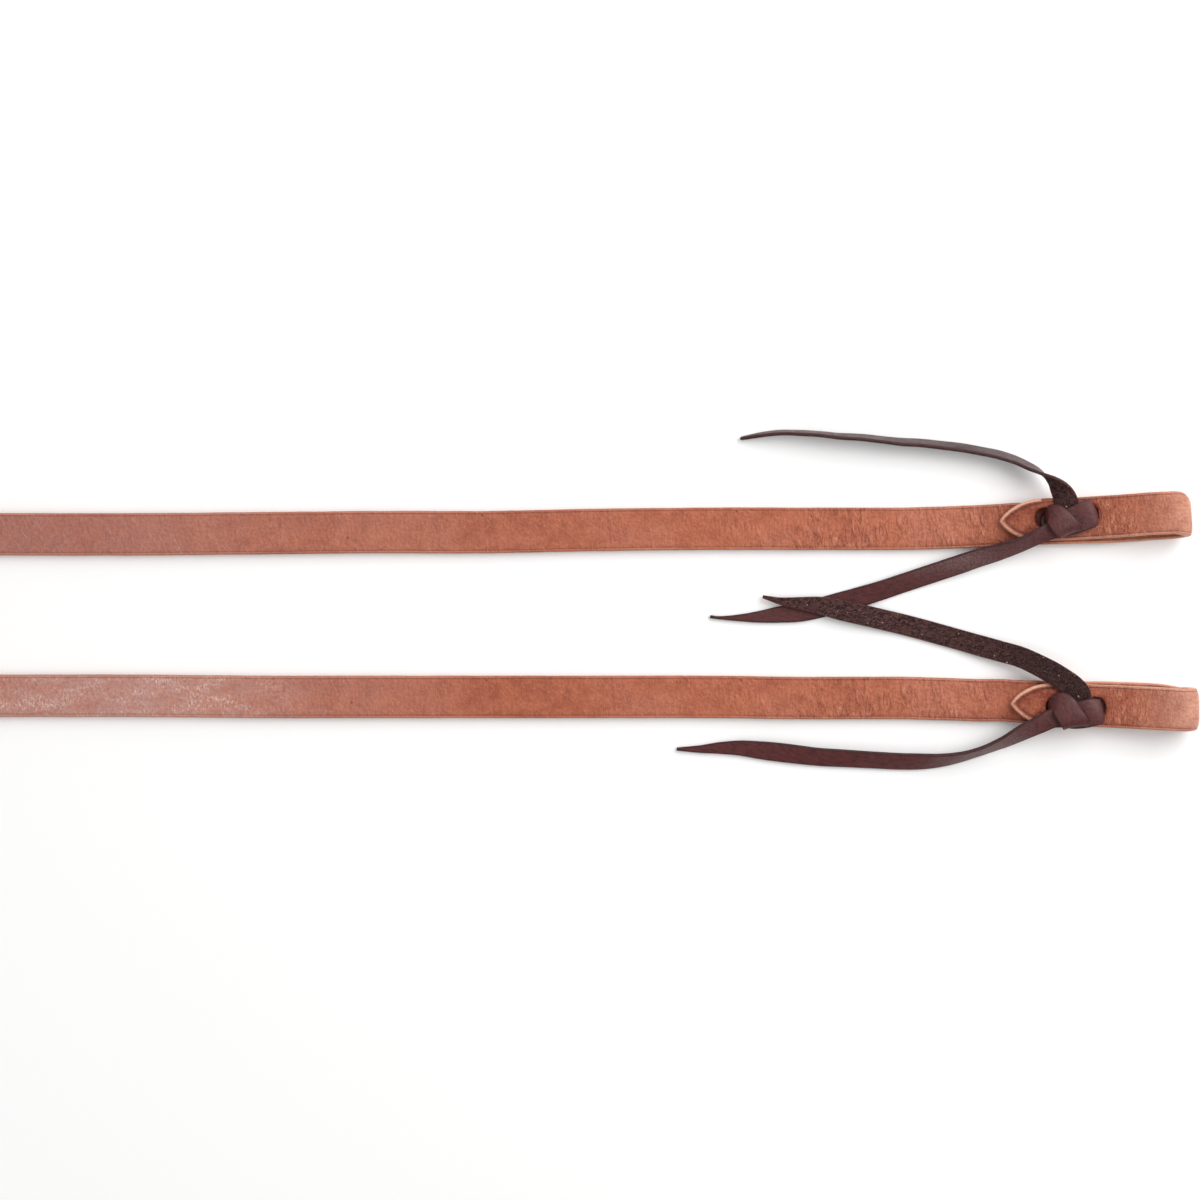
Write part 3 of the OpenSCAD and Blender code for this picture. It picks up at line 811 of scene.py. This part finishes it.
def remap(tree, value, low, high, toLow=0.0, toHigh=1.0):
    return addNode(
        tree, "MapRange",
        {"Value": value, "From Min": low, "From Max": high, "To Min": toLow, "To Max": toHigh},
        interpolation_type="SMOOTHSTEP",
    ).outputs["Result"]


def tint(tree, amount, under, over):
    # sockets 6 and 7 are the mix's two colours
    return addNode(tree, "Mix", {0: amount, 6: under, 7: over}, data_type="RGBA").outputs[2]


def layCoats(tree, colour, look, coats):
    # each coat goes over the ones before it
    for amount, coat in coats:
        colour = tint(tree, amount, colour, look[coat])
    return colour


def stretched(tree, flat, along, across, turn=0.0):
    # the pattern is turned first, then drawn out
    spin = {"Vector": flat, "Rotation": (0.0, 0.0, math.radians(turn))}
    turned = addNode(tree, "Mapping", spin).outputs["Vector"]
    draw = {"Vector": turned, "Scale": (along, across, 1.0)}
    return addNode(tree, "Mapping", draw).outputs["Vector"]


def noiseOf(tree, vector, scale, detail=3.0, rough=0.5, warp=0.0):
    return addNode(
        tree, "TexNoise",
        {"Vector": vector, "Scale": scale, "Detail": detail, "Roughness": rough, "Distortion": warp},
    ).outputs["Fac"]


def newGroup(name, inputs, outputs):
    # an input that starts from no number is a vector
    group = bpy.data.node_groups.new(name, "ShaderNodeTree")
    for socketName, start in inputs.items():
        kind = "NodeSocketVector" if start is None else "NodeSocketFloat"
        socket = group.interface.new_socket(socketName, in_out="INPUT", socket_type=kind)
        if start is not None:
            socket.default_value = start
    for socketName in outputs:
        group.interface.new_socket(socketName, in_out="OUTPUT", socket_type="NodeSocketFloat")
    return group, group.nodes.new("NodeGroupInput").outputs, group.nodes.new("NodeGroupOutput").inputs


def giveOut(group, out, **results):
    for key, socket in results.items():
        group.links.new(socket, out[key])
    return group


def makeGrainGroup():
    # pebbled grain with fine pores, and the slow drift of tone that tanning leaves
    group, given, out = newGroup(
        "leatherGrain", {"Flat": None, "Pebbles": 900.0}, ["Height", "Tone", "Blotch", "Pits"],
    )
    flat, pebbles = given["Flat"], given["Pebbles"]
    bent = addNode(group, "TexNoise", {"Vector": flat, "Scale": 500.0, "Detail": 2.0})
    drift = {0: bent.outputs["Color"], "Scale": 0.0011}
    shift = addNode(group, "VectorMath", drift, operation="SCALE").outputs[0]
    wavy = addNode(group, "VectorMath", {0: flat, 1: shift}, operation="ADD").outputs[0]
    cells = addNode(
        group, "TexVoronoi", {"Vector": wavy, "Scale": pebbles}, feature="SMOOTH_F1",
    ).outputs["Distance"]
    fine = noiseOf(group, flat, times(group, pebbles, 0.9), 4.0, 0.62)
    pores = {"Vector": flat, "Scale": times(group, pebbles, 0.26)}
    spots = addNode(group, "TexVoronoi", pores).outputs["Distance"]
    keep = noiseOf(group, flat, times(group, pebbles, 0.11), 2.0)
    return giveOut(
        group, out,
        Height=calc(group, "SUBTRACT", times(group, fine, 1.1), times(group, cells, 0.45)),
        Tone=noiseOf(group, flat, times(group, pebbles, 0.16), 7.0, 0.66),
        Blotch=noiseOf(group, flat, times(group, pebbles, 0.022), 3.0, 0.5),
        Pits=times(group, remap(group, spots, 0.17, 0.06), remap(group, keep, 0.58, 0.66)),
    )


def makeWrinkleGroup():
    # short wavy creases across the strap where it has been bent, with painted shade in the creases and
    # painted highlight on the ridges
    group, given, out = newGroup(
        "bendWrinkles", {"Flat": None, "Strain": 0.0}, ["Height", "Lines", "Ridges"],
    )
    flat = given["Flat"]
    long = noiseOf(group, stretched(group, flat, 640.0, 180.0, 5.0), 1.0, 3.0, 0.5, 0.9)
    short = noiseOf(group, stretched(group, flat, 1250.0, 420.0, -9.0), 1.0, 2.0, 0.5, 0.6)
    both = calc(group, "ADD", times(group, long, 0.68), times(group, short, 0.32))
    patch = remap(group, noiseOf(group, flat, 70.0, 3.0), 0.34, 0.62, 0.25, 1.0)
    strain = times(group, given["Strain"], patch)
    return giveOut(
        group, out,
        Height=times(group, both, strain),
        Lines=times(group, remap(group, both, 0.5, 0.38), strain),
        Ridges=times(group, remap(group, both, 0.52, 0.64), strain),
    )


def makeScuffGroup():
    # pale scratches in two directions, and wax rubbed up in streaks across the strap
    group, given, out = newGroup(
        "scuffMarks", {"Flat": None, "Amount": 0.0}, ["Scratches", "Cloud", "Streaks"],
    )
    flat, amount = given["Flat"], given["Amount"]
    one = noiseOf(group, stretched(group, flat, 42.0, 1500.0, -64.0), 1.0, 1.0, 0.5)
    two = noiseOf(group, stretched(group, flat, 55.0, 1300.0, -48.0), 1.0, 1.0, 0.5)
    where = remap(group, noiseOf(group, flat, 45.0, 2.0), 0.4, 0.58)
    sharp = calc(group, "MAXIMUM", remap(group, one, 0.64, 0.71), remap(group, two, 0.66, 0.73))
    # scratches show most where the haze and sheen mark is half way
    halfWorn = times(group, times(group, amount, calc(group, "SUBTRACT", 1.0, amount)), 4.0)
    cloud = remap(group, noiseOf(group, flat, 110.0, 7.0, 0.7), 0.34, 0.66)
    streak = noiseOf(group, stretched(group, flat, 1300.0, 620.0), 1.0, 5.0, 0.7, 0.5)
    drift = noiseOf(group, stretched(group, flat, 48.0, 130.0), 1.0, 4.0, 0.65)
    rubbed = times(group, remap(group, streak, 0.46, 0.63), remap(group, drift, 0.4, 0.64))
    return giveOut(
        group, out,
        Scratches=times(group, times(group, sharp, where), halfWorn),
        Cloud=times(group, cloud, amount),
        Streaks=times(group, rubbed, remap(group, amount, 0.35, 0.9)),
    )


def makeRimGroup():
    # the pale bevelled rim, the creased line beside it, and painted shade along the very rim
    group, given, out = newGroup(
        "rimFinish", {"Rim": 0.0, "Crease": 0.0013}, ["Bevel", "Line", "Burn"],
    )
    away = calc(group, "ABSOLUTE", calc(group, "SUBTRACT", given["Rim"], given["Crease"]))
    return giveOut(
        group, out,
        Bevel=remap(group, given["Rim"], 0.0011, 0.00075),
        Line=remap(group, away, 0.00042, 0.00008),
        Burn=remap(group, given["Rim"], 0.0004, 0.00012),
    )


grainGroup = makeGrainGroup()
wrinkleGroup = makeWrinkleGroup()
scuffGroup = makeScuffGroup()
rimGroup = makeRimGroup()


def startMaterial(name):
    material = bpy.data.materials.new(name)
    material.use_nodes = True
    tree = material.node_tree
    flat = addNode(tree, "UVMap", uv_map="flat").outputs["UV"]
    marks = {
        key: addNode(tree, "Attribute", attribute_name=key).outputs["Fac"]
        for key in ("rim", *markChannels)
    }
    return material, tree, tree.nodes["Principled BSDF"], flat, marks


def useGroup(tree, group, **inputs):
    return addNode(tree, "Group", inputs, node_tree=group).outputs


def finishShader(tree, shader, colour, roughness, gloss, height, strength, depth):
    relief = addNode(tree, "Bump", {"Height": height, "Strength": strength, "Distance": depth})
    setInputs(tree, shader, {
        "Base Color": colour, "Roughness": roughness, "Specular IOR Level": gloss,
        "Normal": relief.outputs["Normal"],
    })


harness = {
    "tan": (0.48, 0.14, 0.07, 1.0),
    "deepTan": (0.39, 0.102, 0.05, 1.0),
    "blush": (0.49, 0.165, 0.098, 1.0),
    # this colour is haze, and also the pale painted sheen on the turned-back end
    "haze": (0.49, 0.265, 0.225, 1.0),
    "dust": (0.18, 0.09, 0.105, 1.0),
    "wax": (0.8, 0.59, 0.53, 1.0),
    # oil, and the painted shade round the holes
    "oiled": (0.175, 0.023, 0.005, 1.0),
    # light: pale rims, and painted highlights
    "light": (0.76, 0.385, 0.262, 1.0),
    "cut": (0.72, 0.41, 0.29, 1.0),
    # dark: creased lines and pits, and painted shade
    "dark": (0.11, 0.026, 0.016, 1.0),
    "bevel": (0.6, 0.24, 0.15, 1.0),
    "edgeDark": (0.24, 0.082, 0.05, 1.0),
    "edgeLight": (0.56, 0.27, 0.175, 1.0),
    # how strongly each mark shows
    "streaks": 0.8,
    "scratches": 0.26,
    # painted shade in the wrinkles' creases and painted highlight on their ridges
    "wrinkleLines": 0.58,
    "wrinkleRidges": 0.32,
    "pits": 0.6,
    # painted shade along the very rim
    "rimShading": 0.55,
    "roughness": (0.44, 0.6),
    "gloss": 0.32,
    "reliefDepth": 0.0011,
}


def makeHarnessMaterial(name, pebbles, bump):
    material, tree, shader, flat, marks = startMaterial(name)
    grain = useGroup(tree, grainGroup, Flat=flat, Pebbles=pebbles)
    wrinkles = useGroup(tree, wrinkleGroup, Flat=flat, Strain=marks["strain"])
    scuffs = useGroup(tree, scuffGroup, Flat=flat, Amount=marks["haze"])
    rim = useGroup(tree, rimGroup, Rim=marks["rim"], Crease=marks["crease"])

    pale = calc(tree, "ADD", times(tree, marks["haze"], 0.55), times(tree, scuffs["Cloud"], 0.45))
    pressed = calc(tree, "ADD", 0.32, times(tree, marks["oiled"], 0.5))
    # painted shade along the very rim, left off the pale rims
    rimShading = times(tree, rim["Burn"], calc(tree, "SUBTRACT", 1.0, marks["light"], True))
    colour = tint(tree, remap(tree, grain["Tone"], 0.34, 0.62), harness["deepTan"], harness["tan"])
    colour = layCoats(tree, colour, harness, [
        (remap(tree, grain["Blotch"], 0.42, 0.66, 0.0, 0.6), "blush"),
        (calc(tree, "MINIMUM", pale, 0.95), "haze"),
        (marks["dust"], "dust"),
        (times(tree, scuffs["Streaks"], harness["streaks"]), "wax"),
        (times(tree, scuffs["Scratches"], harness["scratches"], True), "wax"),
        # pale skived and rubbed rims, and the painted highlight on the turned-back end
        (times(tree, marks["light"], remap(tree, grain["Tone"], 0.3, 0.7, 0.6, 1.0), True), "light"),
        (remap(tree, marks["light"], 0.84, 1.0), "cut"),
        # oil; round the holes this mark runs past 1 and paints shade
        (times(tree, marks["oiled"], remap(tree, grain["Tone"], 0.32, 0.64, 1.0, 0.45), True), "oiled"),
        # painted shade in the grain's hollows and painted highlight on its pebbles
        (remap(tree, grain["Height"], 0.42, 0.2, 0.0, 0.16), "dark"),
        (remap(tree, grain["Height"], 0.44, 0.66, 0.0, 0.14), "light"),
        # painted shade in the wrinkles' creases and painted highlight on their ridges
        (times(tree, wrinkles["Lines"], harness["wrinkleLines"]), "dark"),
        (times(tree, wrinkles["Ridges"], harness["wrinkleRidges"]), "light"),
        (times(tree, grain["Pits"], harness["pits"]), "dark"),
        (times(tree, rim["Bevel"], remap(tree, grain["Blotch"], 0.36, 0.6, 0.1, 0.55)), "bevel"),
        (times(tree, rim["Line"], pressed, True), "dark"),
        # painted shade along the very rim
        (times(tree, rimShading, harness["rimShading"]), "dark"),
        # painted shade in and round the holes
        (remap(tree, marks["oiled"], 1.08, 1.32, 0.0, 0.9), "dark"),
    ])

    height = calc(tree, "ADD", times(tree, grain["Height"], 0.55), times(tree, wrinkles["Height"], 2.8))
    height = calc(tree, "SUBTRACT", height, times(tree, grain["Pits"], 0.4))
    height = calc(tree, "SUBTRACT", height, times(tree, scuffs["Scratches"], 0.12))
    roughness = remap(tree, grain["Tone"], 0.3, 0.7, *harness["roughness"])
    finishShader(tree, shader, colour, roughness, harness["gloss"], height, bump, harness["reliefDepth"])
    return material


def makeEdgeMaterial(name, look):
    # a cut edge: fibres run along it
    material, tree, shader, flat, marks = startMaterial(name)
    fibres = noiseOf(tree, stretched(tree, flat, 260.0, 2600.0), 1.0, 4.0, 0.6)
    patches = noiseOf(tree, stretched(tree, flat, 120.0, 120.0), 1.0, 3.0)
    colour = tint(tree, remap(tree, fibres, 0.35, 0.65), look["edgeDark"], look["edgeLight"])
    colour = tint(tree, remap(tree, patches, 0.45, 0.7, 0.0, 0.5), colour, look["edgeDark"])
    # paler where the light mark is, which includes the painted highlight on the turned-back end
    colour = tint(tree, times(tree, marks["light"], 0.8, True), colour, harness["cut"])
    # painted shade on the hole walls
    colour = tint(tree, remap(tree, marks["oiled"], 1.0, 1.2), colour, harness["dark"])
    finishShader(tree, shader, colour, 0.6, 0.35, fibres, 0.5, 0.0002)
    return material


thong = {
    "brown": (0.112, 0.024, 0.023, 1.0),
    # deep: dark dye, and painted shade along the lace rims
    "deep": (0.028, 0.007, 0.008, 1.0),
    # grey wear, and the painted sheen of lace A's upper tail
    "greyWearAndSheen": (0.25, 0.18, 0.182, 1.0),
    "fleshDark": (0.02, 0.009, 0.009, 1.0),
    "fleshBrown": (0.092, 0.04, 0.037, 1.0),
    "lint": (0.21, 0.16, 0.15, 1.0),
    "fibre": (0.52, 0.34, 0.26, 1.0),
    "rawEdge": (0.19, 0.052, 0.045, 1.0),
    "edgeDark": (0.022, 0.008, 0.008, 1.0),
    "edgeLight": (0.08, 0.026, 0.024, 1.0),
    "roughness": (0.38, 0.54),
    "gloss": 0.3,
    "fleshRoughness": 0.9,
    "fleshGloss": 0.12,
}


def makeLaceGrain():
    material, tree, shader, flat, marks = startMaterial("laceGrain")
    grain = useGroup(tree, grainGroup, Flat=flat, Pebbles=1250.0)
    wrinkles = useGroup(tree, wrinkleGroup, Flat=flat, Strain=marks["strain"])
    streaks = noiseOf(tree, stretched(tree, flat, 320.0, 760.0, 20.0), 1.0, 5.0, 0.62, 0.4)
    # grey on the grain's high points: wear, and on lace A's upper tail a painted sheen
    rubbed = times(tree, remap(tree, grain["Height"], 0.18, 0.56, 0.3, 1.0), marks["haze"], True)
    colour = tint(tree, remap(tree, streaks, 0.22, 0.66, 0.15, 1.0), thong["deep"], thong["brown"])
    colour = layCoats(tree, colour, thong, [
        (times(tree, marks["oiled"], 0.9, True), "deep"),
        (times(tree, rubbed, 0.75), "greyWearAndSheen"),
        # painted shade along the rims, where strands meet and gaps open
        (remap(tree, marks["rim"], 0.00095, 0.0002, 0.0, 0.85), "deep"),
    ])
    roughness = remap(tree, grain["Tone"], 0.3, 0.7, *thong["roughness"])
    height = calc(tree, "ADD", times(tree, grain["Height"], 0.6), times(tree, wrinkles["Height"], 0.5))
    finishShader(tree, shader, colour, roughness, thong["gloss"], height, 0.6, 0.0005)
    return material


def makeLaceFlesh():
    material, tree, shader, flat, marks = startMaterial("laceFlesh")
    nap = noiseOf(tree, flat, 1700.0, 4.0, 0.7)
    matted = noiseOf(tree, stretched(tree, flat, 500.0, 900.0, 15.0), 1.0, 5.0, 0.68, 0.8)
    specks = noiseOf(tree, stretched(tree, flat, 620.0, 1100.0, 30.0), 1.0, 1.0, 0.4)
    lint = calc(tree, "ADD", 0.6, times(tree, marks["haze"], 0.6))
    colour = tint(tree, remap(tree, matted, 0.4, 0.6), thong["fleshDark"], thong["fleshBrown"])
    colour = layCoats(tree, colour, thong, [
        (times(tree, marks["oiled"], 0.9, True), "fleshDark"),
        (times(tree, remap(tree, nap, 0.54, 0.72), lint, True), "lint"),
        (remap(tree, specks, 0.735, 0.775, 0.0, 0.9), "fibre"),
        (remap(tree, marks["rim"], 0.00045, 0.0002, 0.0, 0.7), "rawEdge"),
    ])
    height = calc(tree, "ADD", times(tree, nap, 0.6), times(tree, matted, 0.7))
    finishShader(tree, shader, colour, thong["fleshRoughness"], thong["fleshGloss"], height, 0.8, 0.0006)
    return material


strapMaterials = [
    makeHarnessMaterial("harnessOuter", 900.0, 0.75),
    makeHarnessMaterial("harnessInner", 780.0, 0.8),
    makeEdgeMaterial("harnessEdge", harness),
]
laceMaterials = [
    makeLaceGrain(),
    makeLaceFlesh(),
    makeEdgeMaterial("laceEdge", thong),
]
print("leather finishes mixed")


makeRein(reinA)
makeRein(reinB)
makeKnot("laceAKnot", "rein_a", "tie_a_knot", knotA, 61.0)
# lace A's upper tail: its grey table paints a sheen
makeTail("laceAUpperTail", "rein_a", "tie_a_upper_tail", upperTailA, 62.0,
         [(0.22, 0.15), (0.27, 0.3), (0.34, 0.3)], [(0.22, 0.4), (0.26, 0.8), (0.34, 1.0), (0.352, 0.3)])
makeTail("laceALowerTail", "rein_a", "tie_a_lower_tail", lowerTailA, 63.0,
         [(0.27, 0.02), (0.29, 0.1), (0.305, 0.65), (0.315, 0.65), (0.328, 0.35), (0.345, 0.15)],
         [(0.22, 0.2), (0.28, 0.25), (0.32, 0.05)])
makeKnot("laceBKnot", "rein_b", "tie_b_knot", knotB, 71.0)
makeTail("laceBUpperTail", "rein_b", "tie_b_upper_tail", upperTailB, 72.0,
         [(0.24, 0.5), (0.29, 0.45), (0.33, 0.1)], [(0.28, 0.0), (0.325, 0.35), (0.35, 0.7)])
makeTail("laceBLowerTail", "rein_b", "tie_b_lower_tail", lowerTailB, 73.0,
         [(0.29, 0.0), (0.31, 0.25), (0.325, 0.7), (0.345, 0.15)], [(0.3, 0.0), (0.36, 0.1)])

print("pieces in place")
